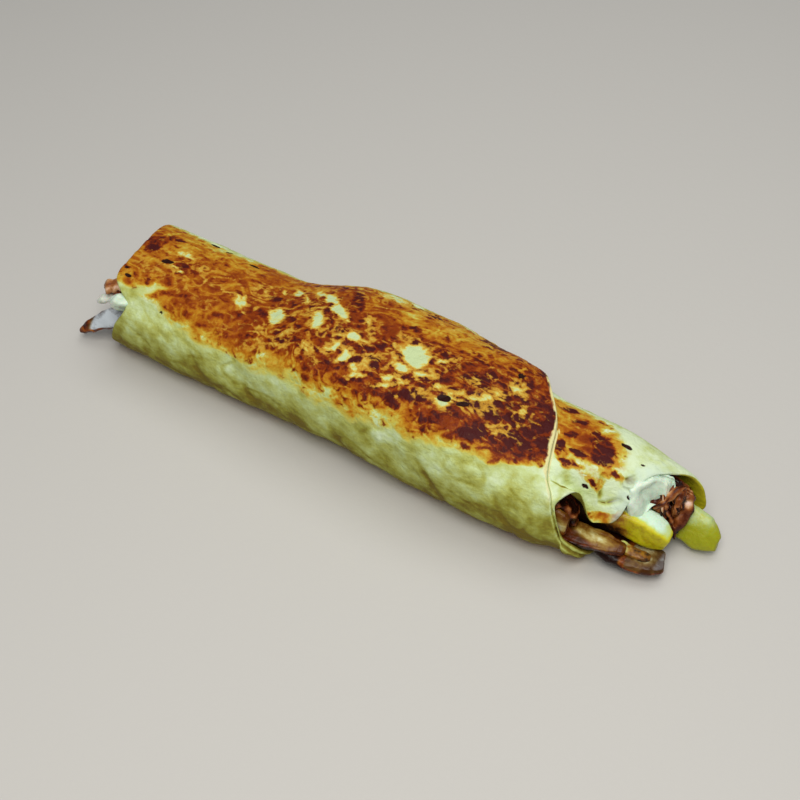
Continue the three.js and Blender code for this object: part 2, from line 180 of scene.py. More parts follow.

# Creases in the bread: from and to (along, across), depth and width. The bread is also painted darker olive
# in them, as shade
CREASES = [
    ((88.8, -7.8), (91.6, -16), 0.7, 0.7), ((90.4, -15.6), (94.4, -15), 0.6, 0.7),
    ((92.4, -15.6), (98.8, -12), 0.6, 0.8), ((94.2, -5.2), (96.8, -9.8), 0.6, 0.7),
    ((95.6, -9.2), (101, -9.2), 0.6, 0.7), ((96.4, -4.4), (99.4, -6.6), 0.9, 2.6),
    ((77.5, -4), (84, -38), 0.3, 1.2),
    ((-72, -34), (-50, -62), 0.45, 1.3), ((-46, -40), (-30, -60), 0.3, 1.4),
    ((-8, -42), (6, -58), 0.35, 1.3), ((4, -38), (24, -50), 0.3, 1.3),
    ((28, -40), (48, -58), 0.4, 1.3), ((58, -36), (74, -54), 0.3, 1.3),
]

# The box of the tongue of bread over the front fry: along, across and the least height
TONGUE = ((86, 106), (-19, 0), 22)
# How far its near edge hangs down over that fry, and where along, in y and in height
TONGUE_DRAPE = (0, -1.5, -3.5)
DRAPE_ALONG = (86, 91, 101, 107)
DRAPE_Y = (-5.5, -11)
DRAPE_HEIGHT = (17, 20.5)

# How far from the sauce the smear of it on the bread has gone, and is full, and how strong it is
SMEAR = (5.0, 1.6)
SMEAR_STRENGTH = 0.8
# The yellow inside of the bread that shows beyond the open end's filling, painted bright as light on a wall
# that lies in shade: along and across
LIT_INSIDE_ALONG = (88, 98)
LIT_INSIDE_ACROSS = (6, 12)
LIT_INSIDE_STRENGTH = 0.85

# Shreds of meat at the open end and the far one, as the filling's solid has them, measured from the far end
# of the roll: path, width, thickness, how many strands each frays into, and their tone
FAR_END = (-115.66, -2.5, 0)
SHREDS = [
    ([(204, 13, 19), (219, 12.6, 23.4), (226, 10.8, 23.6), (229.4, 7.4, 19)], 6, 4, 8, 0.42),
    ([(204, 8, 22), (218, 9, 25), (223.5, 6.5, 23.6), (225.5, 3.4, 19)], 4.6, 3.4, 7, 0.42),
    ([(204, 14, 14), (221, 14.2, 19.4), (228.4, 13, 18.4), (230.8, 9, 13)], 6, 4.4, 8, 0.42),
    ([(204, 4, 18), (218, 4.8, 21), (224, 5.2, 17), (227.6, 5.4, 9.6)], 5.4, 3.4, 7, 0.36),
    ([(204, 12, 16), (222, 12, 15.8), (228, 8.5, 14), (230, 4.6, 8.4)], 5, 4, 7, 0.4),
    ([(16, -8, 20), (1, -9.6, 21.4), (-4.5, -12.4, 20.6)], 8, 5, 3, 0.58),
    ([(18, 3, 25), (9, 3, 25), (1, 1.5, 24)], 15, 9, 6, 0.5),
    ([(18, 13, 16), (9, 13.4, 16), (1.5, 13, 15.4)], 11, 12, 6, 0.5),
    ([(18, 3, 11), (9, 2.4, 11), (0.5, 1, 10.4)], 14, 8, 6, 0.5),
    ([(18, -10, 10.6), (9, -10, 10.6), (2, -10.6, 10)], 10, 7, 5, 0.5),
]
# Folds of meat in front of them: path, width, thickness and tone
FOLDS = [
    (
        [(222, 3, 18), (224.6, 3, 21.2), (225.8, 4.8, 23.2), (226.7, 8, 24.1), (228.2, 10.9, 24.2)],
        2.4, 1.8, 0.56,
    ),
    (
        [(228, 14, 21), (230.6, 13, 19.4), (231.5, 11.4, 18), (231.1, 8.7, 14.8), (230, 4, 9.6)],
        4.2, 2.4, 0.3,
    ),
    ([(227, 10.4, 23.4), (228.6, 8.8, 22.8), (228.8, 6.2, 20.4), (227.6, 6, 14)], 2.6, 1.8, 0.4),
    ([(224, 5, 18), (226.6, 5.1, 16.5), (228.6, 5.1, 12.6), (230.4, 4.5, 10.3)], 2.4, 1.6, 0.26),
    ([(223, 7, 21), (225.6, 6.6, 18.8), (228, 6.6, 16)], 1.8, 1.4, 0.05),
    ([(225, 12, 23.6), (228.6, 12.6, 22.4), (230.6, 14, 19.6)], 2.2, 1.6, 0.5),
]
# A pale pink spot on them, and where the open end's strands are painted dark as shade: in x, y and height
PALE_SPOT = (231.2, 10.3, 18.2)
PALE_SPOT_RADIUS = 2.6
PALE_SPOT_CORE = 0.6
SHADE_X = (90, 100)
SHADE_Y = (-6, 0)
SHADE_HEIGHT = (16, 10)
# The filling's core: the mesh size of its remeshed surface, and where the near mouth begins in x and y
CORE_VOXEL = 0.78
NEAR_MOUTH_X = (98, 94)
NEAR_MOUTH_Y = (-6, -10)
STRAND_SEED = 5

# Fries: the front one's crust, and its root along the roll, where near-black shadow is painted under the
# bread, its near face in y, and its lower part, painted darker as shadow
FRIES = ["fry_front", "fry_side", "fry_sliver"]
FRY_CRUST = (106.5, 98.5)
FRY_SHADOWED_ROOT = (95, 90)
FRY_NEAR_FACE = (-6.4, -8.6)
FRY_SHADOWED_LOWER_PART = (15, 13)
# The side fry's end leans out low down and in higher up, and its colours change with the height: painted
# lighter at its top and foot as light, and darker olive in a band between as shade
SIDE_FRY_END = (0.2, 0.8)
SIDE_FRY_OUT = (6, 2)
SIDE_FRY_IN = (7, 12)
SIDE_FRY_LEAN = 1.4
SIDE_FRY_LIT_TOP = (7, 13)
SIDE_FRY_LIT_FOOT = (3.5, 1.8)
SIDE_FRY_SHADED_BAND = (1, 4, 9, 13)
SLIVER_TIP = (103, 107)

# Slices, with the place along the roll where each one's face is palest, and how far that reaches
SLICES = {
    "meat_slice_lower": (109, 9), "meat_slice_middle": (92, 12), "meat_slice_upright": (82, 9),
    "meat_slice_far": (-116, 14),
}
# Along the roll: the far slice's brown tip, the lower one's root, painted near-black as shadow, and the
# middle one's torn edge
FAR_TIP = (-120, -126)
LOWER_SHADOWED_ROOT = (107, 102)
MIDDLE_TORN = (106, 94)
MIDDLE_TEAR = 1.6
# The lower slice's tip, back from its end, where a white highlight is painted on its upward faces
LOWER_TIP_HIGHLIGHT = (5, 1)

# Sauces: how far the near one runs down, is pressed out and is scooped, and how uneven its border is
SAUCES = ["garlic_sauce_near", "garlic_sauce_far"]
SAUCE_RUN = 6.0
SAUCE_RUN_AHEAD = 0.4
SAUCE_RUN_Y = (8, 1)
SAUCE_OOZE = (1.2, -0.4, 1.1)
SAUCE_SCOOP = 2.6
SAUCE_SCOOP_Y = (0.5, 5.5)
SAUCE_BORDER = 1.6
# How far the far one's top is drawn over the bread's edge
FAR_SAUCE_DRAWN = (2.8, -1.8, 1.7)

# How strongly the surface of bread, fries and meat bends light
MOIST_IOR = 1.42


def smoothstep(value, low, high):
    """0 below low, 1 above high and a smooth rise between; the other way round where high is lower."""
    share = np.clip((value - low) / (high - low), 0, 1)
    return share * share * (3 - 2 * share)


def hump(value, low, full, still, high):
    """A smooth rise from 0 at low to 1 at full, and a fall from 1 at still to 0 at high."""
    return smoothstep(value, low, full) * smoothstep(value, high, still)


def rough(points, size, seed, octaves=3):
    """Noise from about -1 to 1 at each point, with lumps of about that size in millimetres."""
    shift = Vector((3.7 * seed, 1.3 * seed, 2.9 * seed))
    return np.array([noise.fractal(Vector(p) / size + shift, 1.0, 2.0, octaves) for p in points])


def unit(vectors):
    """The vectors, each made 1 long."""
    return vectors / np.linalg.norm(vectors, axis=1)[:, None]


def srgb(red, green, blue):
    """A colour as a screen shows it, from 0 to 255, as the numbers that a shader takes."""
    channels = [c / 255 for c in (red, green, blue)]
    return tuple(c / 12.92 if c <= 0.04045 else ((c + 0.055) / 1.055) ** 2.4 for c in channels) + (1.0,)


# Meshes

def cad_copy(node):
    """A copy of a CAD node's mesh, with its corners joined and its triangles paired."""
    mesh = bpy.data.meshes.new(node)
    work = bmesh.new()
    work.from_mesh(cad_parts[node].data)
    bmesh.ops.remove_doubles(work, verts=work.verts, dist=0.01 * MM)
    bmesh.ops.join_triangles(
        work, faces=work.faces, angle_face_threshold=math.pi, angle_shape_threshold=math.pi,
    )
    work.to_mesh(mesh)
    work.free()
    return mesh


@contextmanager
def edited(mesh):
    """The mesh as a bmesh to work on, which is written back at the end."""
    work = bmesh.new()
    work.from_mesh(mesh)
    yield work
    work.to_mesh(mesh)
    work.free()


def with_modifiers(mesh, *settings):
    """The mesh with some modifiers applied, each given as its kind and its values."""
    holder = bpy.data.objects.new("holder", mesh)
    bpy.context.scene.collection.objects.link(holder)
    for kind, values in settings:
        modifier = holder.modifiers.new(kind, kind)
        for name, value in values.items():
            setattr(modifier, name, value)
    made = bpy.data.meshes.new_from_object(holder.evaluated_get(bpy.context.evaluated_depsgraph_get()))
    bpy.data.objects.remove(holder)
    return made


def subdivided(mesh, sharp, smooth):
    """The mesh split flat that many times, which keeps its edges, and then smoothly."""
    flat = ("SUBSURF", {"subdivision_type": "SIMPLE", "levels": sharp})
    soft = ("SUBSURF", {"subdivision_type": "CATMULL_CLARK", "levels": smooth})
    return with_modifiers(mesh, *([flat] if sharp else []), soft)


def smooth_copy(node, sharp, smooth):
    """A CAD node's mesh, subdivided, with its points and their normals."""
    mesh = subdivided(cad_copy(node), sharp, smooth)
    return mesh, points_of(mesh), normals_of(mesh)


def points_of(mesh):
    """The mesh's points, in millimetres."""
    flat = np.empty(len(mesh.vertices) * 3)
    mesh.vertices.foreach_get("co", flat)
    return flat.reshape(-1, 3) / MM


def normals_of(mesh):
    flat = np.empty(len(mesh.vertices) * 3)
    mesh.vertex_normals.foreach_get("vector", flat)
    return flat.reshape(-1, 3)


def move_points(mesh, points):
    mesh.vertices.foreach_set("co", (points * MM).astype(np.float32).ravel())
    mesh.update()


def paint(mesh, **fields):
    """Some numbers for each point, which the materials read by name."""
    for name, values in fields.items():
        attribute = mesh.attributes.new(name, "FLOAT", "POINT")
        attribute.data.foreach_set("value", values.astype(np.float32))


def long_axes(points):
    """The points seen along the piece's own long, middle and short axes."""
    centred = points - points.mean(0)
    axes = np.linalg.eigh(np.cov(centred.T))[1][:, ::-1]
    return centred @ axes, axes


def show(mesh, name, material, node):
    """Puts a finished mesh in the scene in place of the CAD node that it stands for."""
    piece = bpy.data.objects.new(name, mesh)
    bpy.context.scene.collection.objects.link(piece)
    mesh.materials.clear()
    mesh.materials.append(material)
    mesh.shade_smooth()
    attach(piece, "root")
    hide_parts(node)


# Materials

class Finish:
    """A material round one Principled shader, whose nodes are added by short calls."""

    def __init__(self, name, **sockets):
        self.material = bpy.data.materials.new(name)
        self.material.use_nodes = True
        self.tree = self.material.node_tree
        self.shader = self.tree.nodes["Principled BSDF"]
        self.feed(self.shader, sockets)
        metres = self.add("TexCoord").outputs["Object"]
        self.place = self.add("VectorMath", {0: metres, "Scale": 1 / MM}, operation="SCALE").outputs[0]

    def add(self, kind, inputs=None, **settings):
        node = self.tree.nodes.new("ShaderNode" + kind)
        for name, value in settings.items():
            setattr(node, name, value)
        self.feed(node, inputs or {})
        return node

    def feed(self, node, inputs):
        """Each input is another node's output or a plain value."""
        for name, value in inputs.items():
            if isinstance(value, bpy.types.NodeSocket):
                self.tree.links.new(value, node.inputs[name])
            else:
                node.inputs[name].default_value = value

    def painted(self, name):
        return self.add("Attribute", attribute_name=name).outputs["Fac"]

    def stretched(self, turn, stretch):
        """Places turned about the upright axis, with patterns drawn out along the turned direction."""
        inputs = {"Vector": self.place, "Rotation": (0, 0, math.radians(-turn))}
        inputs |= {"Scale": (1 / stretch, 1, 1)}
        return self.add("Mapping", inputs).outputs[0]

    def grain(self, size, detail=3.0, rough_share=0.55, place=None, twist=0.0):
        """Noise from 0 to 1 with lumps of that size in millimetres."""
        inputs = {"Vector": place or self.place, "Scale": 1 / size, "Detail": detail}
        inputs |= {"Roughness": rough_share, "Distortion": twist}
        return self.add("TexNoise", inputs).outputs["Fac"]

    def even_grain(self, *values):
        """The same noise, from -0.5 to 0.5."""
        return self.sum(-0.5, (self.grain(*values), 1.0))

    def shaken(self, place, size, amount):
        """Places moved to and fro by up to about half that many millimetres, in waves of that size."""
        waves = self.add("TexNoise", {"Vector": self.place, "Scale": 1 / size, "Detail": 2.0})
        inputs = {0: waves.outputs["Color"], 1: (amount, amount, amount), 2: place}
        return self.add("VectorMath", inputs, operation="MULTIPLY_ADD").outputs[0]

    def cells(self, size, place):
        """Blisters of about that size in millimetres: 0 on the lines between them, and more inside."""
        inputs = {"Vector": place, "Scale": 1 / size}
        return self.add("TexVoronoi", inputs, feature="DISTANCE_TO_EDGE").outputs["Distance"]

    def swirls(self, size, turns, place):
        """Curling lines, from -1 to 1, round the lumps of a noise of that size."""
        smooth = self.grain(size, 1.0, 0.4, place, 1.3)
        return self.add("Math", {0: self.times(smooth, 2 * math.pi * turns)}, operation="SINE").outputs[0]

    def sum(self, total, *terms):
        """A value plus some others, each given with its factor."""
        for value, factor in terms:
            inputs = {0: value, 1: factor, 2: total}
            total = self.add("Math", inputs, operation="MULTIPLY_ADD").outputs[0]
        return total

    def times(self, first, second):
        return self.add("Math", {0: first, 1: second}, operation="MULTIPLY").outputs[0]

    def span(self, value, low, high, first=0.0, last=1.0):
        """The value's place between low and high, smoothed, as a number from first to last."""
        inputs = {"Value": value, "From Min": low, "From Max": high, "To Min": first, "To Max": last}
        return self.add("MapRange", inputs, interpolation_type="SMOOTHSTEP").outputs[0]

    def ramp(self, value, stops):
        """A colour for each value, from stops of (value, red, green, blue)."""
        node = self.add("ValToRGB", {"Fac": value})
        elements = node.color_ramp.elements
        while len(elements) < len(stops):
            elements.new(1.0)
        for element, (position, *colour) in zip(elements, stops):
            element.position = position
            element.color = srgb(*colour)
        return node.outputs["Color"]

    def mix(self, share, first, second):
        """One colour where share is 0 and the other where it is 1."""
        node = self.add("Mix", data_type="RGBA")
        self.feed(node, {0: share, 6: first, 7: second})
        return node.outputs[2]

    def bumps(self, height, depth):
        """Raises the surface by the height's pattern, as deep as that many millimetres."""
        node = self.add("Bump", {"Height": height, "Distance": depth * MM})
        self.feed(self.shader, {"Normal": node.outputs[0]})

    def done(self, colour, roughness):
        """The material, with its colour and roughness."""
        self.feed(self.shader, {"Base Color": colour, "Roughness": roughness})
        return self.material


def bread_finish():
    finish = Finish("griddled_flatbread", **{"IOR": MOIST_IOR, "Specular IOR Level": 0.12})
    drawn = finish.stretched(28, 1.5)
    patches = finish.even_grain(11, 3, 0.5)
    blots = finish.even_grain(3.8, 4, 0.62, drawn, 0.6)
    specks = finish.even_grain(4.2, 3, 0.55, drawn, 0.5)
    fine = finish.even_grain(1.2, 3, 0.6)
    blisters = finish.cells(3.6, finish.shaken(finish.shaken(drawn, 5, 5), 1.6, 2.2))
    curls = finish.swirls(9, 3.6, drawn)

    # Brown from pale gold to orange, uneven only where there is some, and lighter between the blisters
    toast = finish.painted("toast")
    uneven = finish.sum(finish.times(blots, 0.8), (patches, 0.7), (fine, 0.25), (-0.08, 1.0))
    uneven = finish.sum(uneven, (blisters, 0.5), (curls, 0.09))
    toast = finish.sum(toast, (finish.times(finish.span(toast, 0.02, 0.3), uneven), 1.0))
    colour = finish.ramp(toast, [
        (0.0, 198, 206, 124), (0.12, 200, 188, 82), (0.27, 194, 154, 46), (0.42, 182, 120, 24),
        (0.58, 160, 86, 14), (0.75, 136, 58, 10), (1.0, 106, 40, 8),
    ])

    # Blisters burnt from red-brown to purple, and pale lines between them that widen into islands
    dark = finish.sum(finish.painted("dark"), (blisters, 1.3), (specks, 1.1), (fine, 0.25), (curls, 0.08))
    burnt = finish.ramp(dark, [
        (0.5, 146, 64, 14), (0.7, 124, 46, 8), (0.88, 98, 34, 14), (1.0, 70, 22, 21),
    ])
    colour = finish.mix(finish.span(dark, 0.44, 0.8), colour, burnt)
    pale = finish.painted("pale")
    ragged = finish.times(blots, finish.sum(1.15, (pale, 0.6)))
    pale = finish.sum(pale, (blisters, -1.0), (ragged, 1.0), (fine, 0.3), (curls, -0.13))
    gold, yellow, mint = srgb(194, 144, 46), srgb(212, 200, 96), srgb(196, 213, 160)
    for low, high, tone in ((0.18, 0.5, gold), (0.44, 0.82, yellow), (0.68, 1.02, mint)):
        colour = finish.mix(finish.span(pale, low, high), colour, tone)

    # Bread that the griddle didn't reach, from mint to olive: mottled, and darker towards olive where shade
    # is painted in
    tint_and_shade = finish.sum(finish.painted("olive"), (finish.even_grain(9, 4, 0.6), 1.5), (specks, 0.6))
    plain = finish.ramp(tint_and_shade, [
        (0.0, 214, 230, 190), (0.25, 196, 211, 146), (0.5, 178, 184, 100), (0.75, 150, 148, 58),
        (1.0, 120, 104, 34),
    ])
    griddled = finish.sum(toast, (finish.span(finish.painted("dark"), 0.2, 0.6), 0.2))
    colour = finish.mix(finish.span(griddled, 0.0, 0.13), plain, colour)

    # The cut edge, the inside (painted bright yellow, as light on its shaded wall), the smear of sauce and
    # the burnt specks
    marks = {"cut": (226, 220, 160), "inside": (172, 162, 24), "smear": (206, 226, 206)}
    for name, tone in marks.items():
        colour = finish.mix(finish.painted(name), colour, srgb(*tone))
    colour = finish.mix(finish.span(finish.painted("char"), 0.35, 0.65), colour, srgb(40, 15, 12))
    finish.bumps(finish.sum(blots, (blisters, 0.9), (fine, 0.5)), 0.45)
    return finish.done(colour, finish.span(toast, 0.1, 0.6, 0.6, 0.48))


def fry_finish():
    finish = Finish(
        "fried_potato", **{"Subsurface Weight": 0.12, "Subsurface Scale": 0.003, "IOR": MOIST_IOR},
    )
    flecks = finish.even_grain(2.2, 4, 0.65)
    # White on the top, partly the cut face and partly painted light
    lit = finish.sum(0.14, (finish.painted("up"), 0.86), (flecks, 0.7))
    colour = finish.ramp(lit, [
        (0.0, 164, 144, 4), (0.16, 196, 186, 8), (0.34, 208, 202, 22), (0.52, 200, 208, 84),
        (0.76, 200, 224, 166), (1.0, 212, 238, 216),
    ])
    # Olive on the side fry: its own colour, and darker in a band painted as shade
    colour = finish.mix(finish.times(finish.painted("olive"), 0.7), colour, srgb(128, 138, 16))
    # Crust, and near-black shadow painted at the front fry's root
    browned = finish.sum(finish.painted("browned"), (flecks, 1.1))
    crust_and_shade = finish.ramp(browned, [(0.5, 168, 124, 22), (0.8, 132, 84, 14), (1.0, 40, 18, 6)])
    colour = finish.mix(finish.span(browned, 0.3, 0.7), colour, crust_and_shade)
    finish.bumps(finish.grain(1.2, 4, 0.6), 0.25)
    return finish.done(colour, finish.span(flecks, -0.2, 0.2, 0.3, 0.48))


def slice_finish():
    finish = Finish("cut_meat", **{"IOR": MOIST_IOR, "Specular IOR Level": 0.24})
    fibres = finish.grain(1.0, 3, 0.6, finish.stretched(8, 2.0), 0.6)
    flecks = finish.grain(4.2, 3, 0.55, None, 0.5)
    tone = finish.sum(finish.times(fibres, 0.25), (flecks, 0.75))
    tone = finish.sum(tone, (finish.painted("light"), 0.36))
    face = finish.ramp(tone, [
        (0.26, 84, 42, 8), (0.4, 118, 78, 24), (0.52, 148, 116, 48), (0.64, 186, 170, 104),
        (0.76, 206, 206, 160),
    ])
    grey_and_highlight = finish.painted("grey_and_highlight")
    dull = finish.ramp(tone, [
        (0.26, 66, 38, 14), (0.42, 92, 66, 32), (0.54, 122, 104, 66), (0.7, 182, 178, 148),
    ])
    # White: the far slice's own pale colour, and the highlight painted on the lower slice's tip
    white = finish.ramp(tone, [(0.3, 108, 100, 98), (0.45, 150, 154, 158), (0.6, 196, 204, 210)])
    colour = finish.mix(finish.span(grey_and_highlight, 0.0, 0.6), face, dull)
    colour = finish.mix(finish.span(grey_and_highlight, 0.7, 1.2), colour, white)
    # Crust on the edges, darker undersides, painted shade, and near-black painted shadow where it runs
    # highest at the lower slice's root
    crust_and_shade = finish.ramp(flecks, [
        (0.3, 36, 11, 4), (0.48, 84, 32, 8), (0.6, 138, 70, 15), (0.75, 186, 120, 36),
    ])
    edge = finish.sum(finish.painted("crust_and_shade"), (finish.sum(-0.5, (flecks, 1.0)), 0.9))
    colour = finish.mix(finish.span(edge, 0.3, 0.75), colour, crust_and_shade)
    colour = finish.mix(finish.span(edge, 1.3, 2.0), colour, srgb(30, 9, 4))
    finish.bumps(finish.sum(flecks, (fibres, 0.35)), 0.3)
    return finish.done(colour, finish.span(flecks, 0.3, 0.7, 0.2, 0.36))


def meat_finish():
    finish = Finish("shredded_meat", **{"IOR": MOIST_IOR, "Specular IOR Level": 0.3})
    flecks = finish.grain(2.0, 4, 0.65)
    # The strands' tone, with painted shade in the core's recesses and low in the open end
    tone = finish.sum(-0.3, (finish.painted("strand"), 0.95), (flecks, 0.58))
    colour = finish.ramp(tone, [
        (0.08, 30, 9, 4), (0.26, 78, 31, 12), (0.42, 122, 64, 26), (0.58, 160, 100, 52),
        (0.76, 198, 152, 108), (0.92, 226, 194, 176),
    ])
    finish.bumps(finish.sum(flecks, (finish.grain(0.7, 3, 0.6), 0.4)), 0.2)
    return finish.done(colour, finish.span(flecks, 0.3, 0.7, 0.16, 0.36))


def wet_finish(name, first, second):
    """A wet white food, sauce or onion, that swirls between two colours."""
    finish = Finish(name, **{"Subsurface Weight": 0.2, "Subsurface Scale": 0.003, "IOR": 1.4})
    swirl = finish.grain(3.2, 3, 0.5, None, 0.8)
    colour = finish.mix(finish.span(swirl, 0.35, 0.65), srgb(*first), srgb(*second))
    finish.bumps(finish.grain(2.0, 2, 0.5), 0.25)
    return finish.done(colour, finish.span(swirl, 0.3, 0.7, 0.2, 0.34))


# Bread

def more_rows(mesh):
    """Splits the outside's long edges once, so that its rows lie as close as its columns."""
    with edited(mesh) as work:
        outside = set()
        for face in work.faces:
            centre = face.calc_center_median()
            outward = face.normal.y * centre.y + face.normal.z * (centre.z - AXIS_HEIGHT * MM)
            if outward > 0:
                outside.add(face)
        runs = []
        for edge in work.edges:
            run = edge.verts[1].co - edge.verts[0].co
            lengthwise = abs(run.x) > ROW_EDGE * MM and abs(run.x) > ROW_SLANT * run.length
            if lengthwise and outside.intersection(edge.link_faces):
                runs.append(edge)
        bmesh.ops.subdivide_edges(work, edges=runs, cuts=1, use_grid_fill=True)


def finer_tongue(mesh):
    """Splits the tongue of bread over the front fry closely, for the thin creases in it."""
    (low_x, high_x), (low_y, high_y), low_z = TONGUE
    with edited(mesh) as work:
        there = set()
        for vertex in work.verts:
            x, y, z = (c / MM for c in vertex.co)
            if low_x < x < high_x and low_y < y < high_y and z > low_z:
                there.add(vertex)
        edges = [edge for edge in work.edges if there.issuperset(edge.verts)]
        bmesh.ops.subdivide_edges(work, edges=edges, cuts=2, use_grid_fill=True)


def across_roll(points):
    """How far each point lies from the top's middle line, across the roll and down its sides."""
    x, y, z = points.T
    stations = np.arange(x.min() + TOP_STEP / 2, x.max(), TOP_STEP)
    tops = [z[np.abs(x - station) < TOP_REACH].max() for station in stations]
    return y + np.sign(y) * SIDE_SHARE * np.maximum(np.interp(x, stations, tops) - z, 0)


class Roll:
    """The bread's points, where each lies on the roll, and which part of the bread it is on."""

    def __init__(self, mesh):
        self.points = points_of(mesh)
        self.normals = normals_of(mesh)
        self.along, self.y, self.height = self.points.T
        self.across = across_roll(self.points)
        self.past_edge = self.along - np.interp(self.across, *np.transpose(OUTER_EDGE))
        self.inner = self.past_edge > EDGE_MARGIN
        self.outward = unit(self.points[:, 1:] - (0, AXIS_HEIGHT))
        self.facing = (self.normals[:, 1:] * self.outward).sum(1)
        self.shown = smoothstep(self.facing, *OUTSIDE_FACING)
        self.side = smoothstep(np.abs(self.across), *SIDES_ACROSS)
        self.underside = smoothstep(self.height, *UNDERSIDE_HEIGHT)
        frayed = self.past_edge + EDGE_FRAY * rough(self.points, 2.5, 14)
        self.cut = smoothstep(frayed, -EDGE_BAND, -0.6 * EDGE_BAND) * ~self.inner * self.shown
        self.cut *= smoothstep(self.across, *EDGE_BAND_ACROSS)
        open_end = smoothstep(self.normals[:, 0], *RIM_FACING) * (self.along > RIM_FROM)
        self.rim = np.maximum(open_end, self.cut)
        self.wander = [rough(self.points, size, seed) for size, seed in ((4, 11), (4, 12), (9, 13))]

    def wandering(self, amount):
        """The points' places along and across, moved to and fro."""
        return self.along + amount * self.wander[0], self.across + amount * self.wander[1]


def spot(along, across, place):
    """How far each point is from a spot's middle, where 1 is the spot's edge."""
    middle_along, middle_across, length, width, turn = place
    cos, sin = math.cos(math.radians(turn)), math.sin(math.radians(turn))
    ahead = along - middle_along
    aside = across - middle_across
    return np.hypot((ahead * cos + aside * sin) / length, (aside * cos - ahead * sin) / width)


def spotted(along, across, spots, grown=1.0):
    """The strongest of some spots at each point, full in the middle and gone a little past the edge."""
    strongest = np.zeros_like(along)
    for *place, strength in spots:
        away = spot(along, across, place) / grown
        strongest = np.maximum(strongest, strength * smoothstep(away, 1.5, 0.4))
    return strongest


def browning(roll):
    """How brown, dark and pale the griddle left each point of the top, from 0 to about 1."""
    stations, *measures = np.transpose(BROWN_TOP)
    near, far, fade, depth, dark = (np.interp(roll.along, stations, values) for values in measures)
    near = near + NEAR_WANDER * roll.wander[2]
    far = far + FAR_WANDER * roll.wander[0]
    top = np.clip((roll.across - near) / fade, 0, 1) * smoothstep(roll.across, far, far - FAR_FADE)
    beyond = smoothstep(roll.across, *BEYOND_ACROSS)
    golden = beyond * hump(roll.along, *GOLDEN_ALONG)
    depth = depth * (1 - 0.2 * beyond - 0.28 * golden)
    dark = dark - 0.18 * beyond - 0.2 * golden
    there = roll.wandering(BLOTCH_WANDER)
    inner_toast = np.maximum(spotted(*there, INNER_TOAST), 0.68 * spotted(*there, INNER_DARK, 1.3))
    top *= 1 - spotted(*there, OUTER_BARE)
    toast = np.where(roll.inner, inner_toast, np.maximum(depth, spotted(*there, OUTER_TOAST)) * top)
    outer_dark = np.maximum(dark, spotted(*there, OUTER_DARK)) * top
    dark = np.where(roll.inner, spotted(*there, INNER_DARK), outer_dark)
    halo = np.minimum(0.48 * spotted(*there, OUTER_PALE, 1.7), 0.4)
    pale = np.maximum(spotted(*roll.wandering(ISLAND_WANDER), OUTER_PALE), halo)
    pale = np.where(roll.inner, 0.2, pale)
    return toast, dark, pale


def griddle_marks(roll):
    """How brown, dark, pale and burnt each point is, with the underside lightly browned too."""
    toast, dark, pale = browning(roll)
    bare = roll.shown * (1 - roll.rim)
    on_top = smoothstep(roll.height, *BROWN_HEIGHT)
    toast = np.maximum(toast * on_top, roll.underside * (0.5 + 0.3 * roll.wander[2])) * bare
    dark = np.maximum(dark * on_top, 0.3 * roll.underside) * bare
    pale = np.maximum(pale, 0.4 * roll.underside) * bare
    char = np.zeros_like(roll.along)
    for place in CHAR_SPOTS:
        away = spot(*roll.wandering(SPECK_WANDER), place)
        char = np.maximum(char, smoothstep(away, 1.4, 0.6))
    char *= roll.shown * (roll.height > CHAR_LOWEST)
    return toast, dark, pale, char


def crease_depth(along, across):
    """How deep the creases press the bread in."""
    depth = np.zeros_like(along)
    for start, end, most, width in CREASES:
        run = np.subtract(end, start)
        share = ((along - start[0]) * run[0] + (across - start[1]) * run[1]) / (run @ run)
        held = np.clip(share, 0, 1)
        away = np.hypot(along - start[0] - held * run[0], across - start[1] - held * run[1])
        fade = hump(held, 0, 0.25, 0.7, 1)
        depth = np.maximum(depth, most * fade * np.exp(-((away / width) ** 2)))
    return depth


def fine_wrinkles(points):
    """Thin wrinkles, from 0 to 1, drawn out along the roll and aslant."""
    drawn = points @ np.array([[0.5, 0.25, 0.25], [0.1, 1, 0.2], [-0.25, 0.2, 1]])
    return smoothstep(1 - np.abs(rough(drawn, 11, 21, 2)), 0.82, 1)


def bread_relief(roll, toast, pale, char, creases, wrinkles):
    """How far lumps, blisters, wrinkles, creases and burnt holes raise or sink each point."""
    points, side = roll.points, roll.side
    relief = (0.2 + 0.25 * side) * rough(points, 16, 22, 2) + (0.12 + 0.12 * side) * rough(points, 6, 23)
    relief += (0.3 * toast + 0.12 * side) * rough(points, 3, 24) - 0.2 * side * wrinkles
    relief -= 0.2 * smoothstep(pale, 0.5, 0.9)
    relief -= 0.5 * char + creases
    held_down = smoothstep(roll.height, 0.2, 5) * (0.35 + 0.65 * roll.shown) * (1 - 0.6 * roll.rim)
    return relief * held_down


def draped(roll):
    """How far the tongue's near edge hangs over the front fry, and the outer layer thins to its edge."""
    hangs = hump(roll.along, *DRAPE_ALONG)
    hangs *= smoothstep(roll.y, *DRAPE_Y) * smoothstep(roll.height, *DRAPE_HEIGHT)
    moves = hangs[:, None] * TONGUE_DRAPE
    thins = hump(roll.past_edge, *THINS_PAST_EDGE) * smoothstep(roll.facing, *THINS_FACING)
    thins *= smoothstep(roll.across, *THINS_ACROSS) * smoothstep(roll.y, *THINS_Y)
    moves[:, 1:] -= EDGE_THINS * thins[:, None] * roll.outward
    return moves


